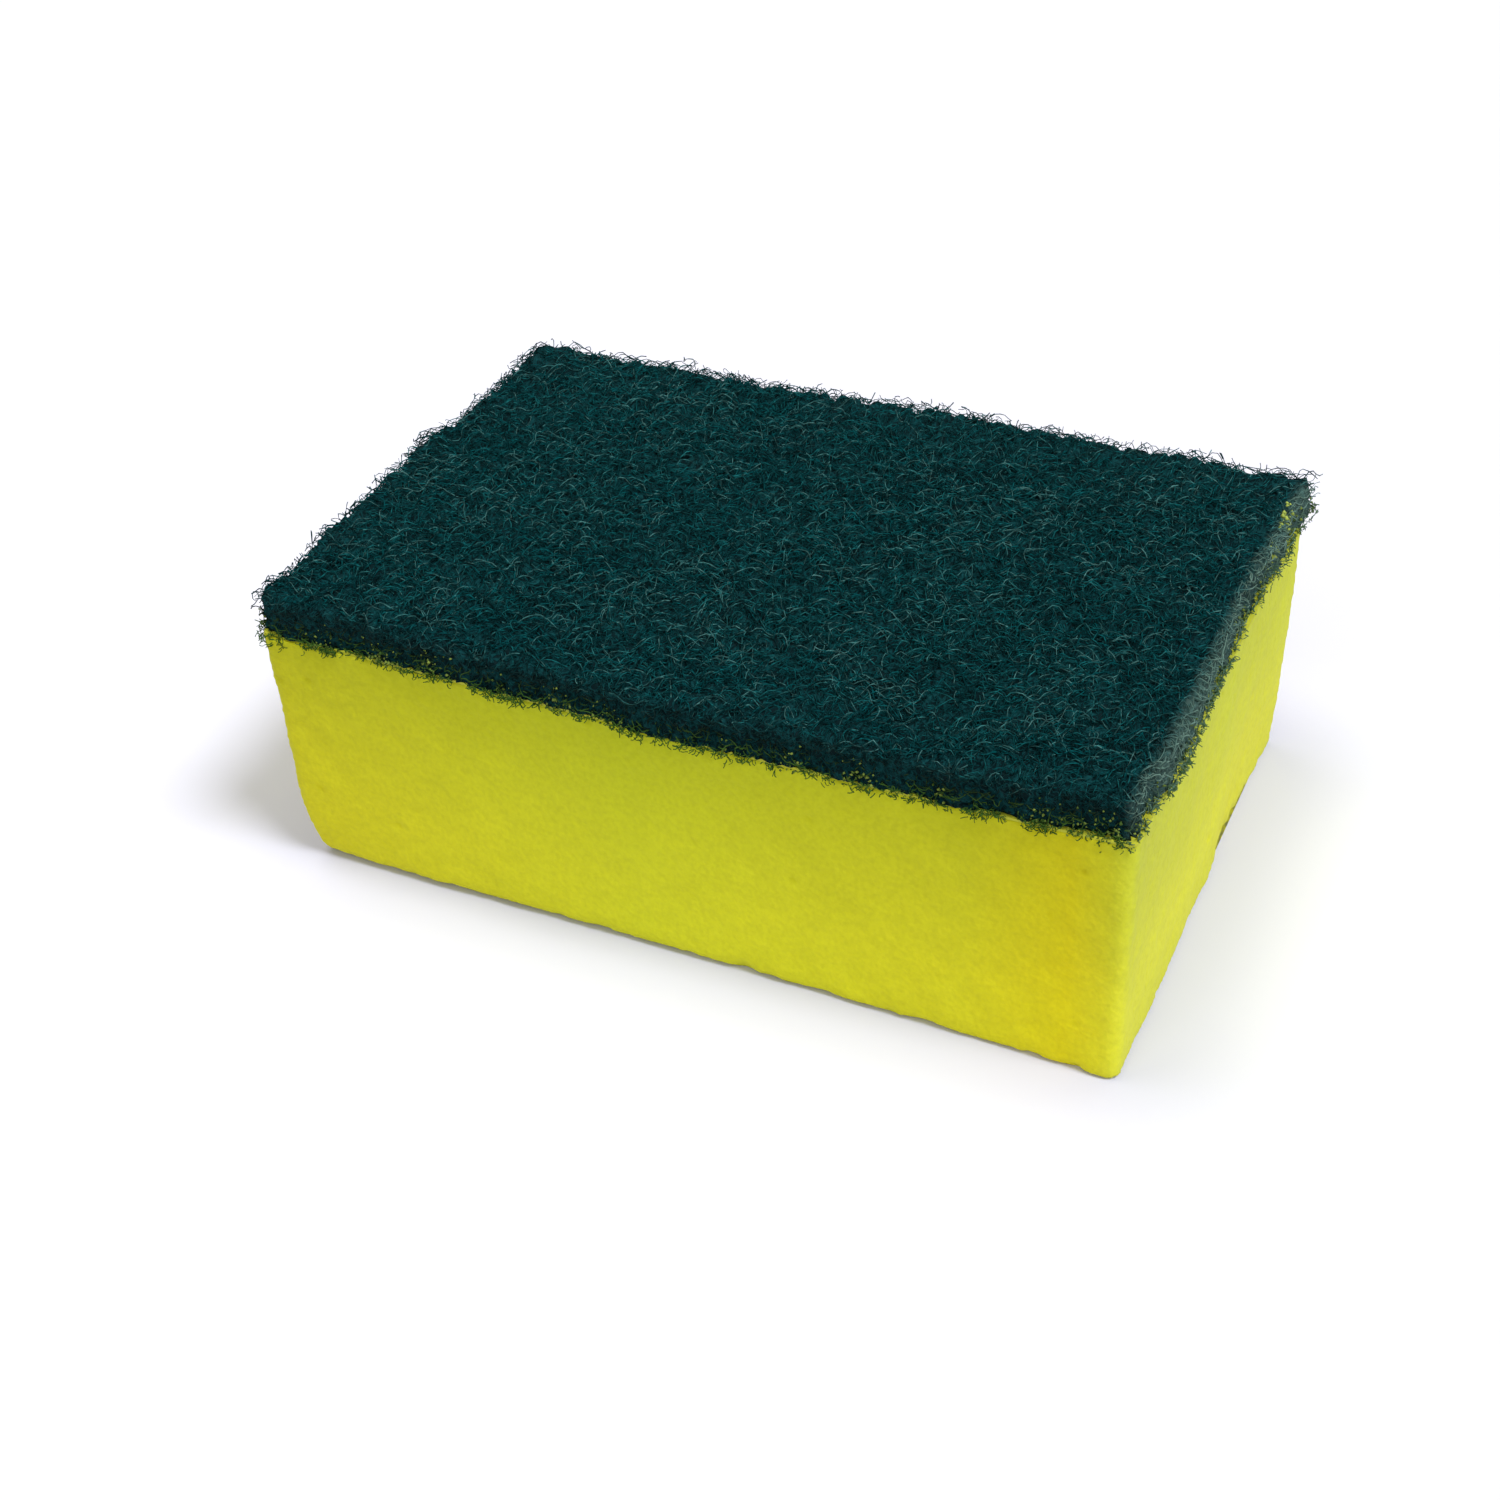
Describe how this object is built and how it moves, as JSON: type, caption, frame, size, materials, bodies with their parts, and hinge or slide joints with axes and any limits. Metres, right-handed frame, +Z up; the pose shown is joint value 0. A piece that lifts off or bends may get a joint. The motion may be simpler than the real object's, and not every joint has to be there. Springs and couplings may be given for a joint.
{
  "type": "scouring sponge",
  "caption": "Oblong kitchen sponge: a soft foam block with a fibrous scouring pad glued over its top.",
  "frame": {"origin": "middle of the sponge's base, on the surface that it rests on", "axes": "+X along the length, +Y from the front side to the back side, +Z up through the foam to the scouring pad"},
  "size_m": [0.1131, 0.0742, 0.0411],
  "materials": {
    "yellow_foam": "open-cell polyurethane foam, matt, dyed lemon yellow",
    "laminating_glue": "thin dried laminating adhesive, dull olive yellow",
    "green_fibre_web": "nonwoven web of curly resin-coated fibres with abrasive grit, dark teal green"
  },
  "bodies": {
    "root": {"foam_block": "yellow_foam", "glue_film": "laminating_glue", "scouring_pad": "green_fibre_web"}
  },
  "joints": []
}
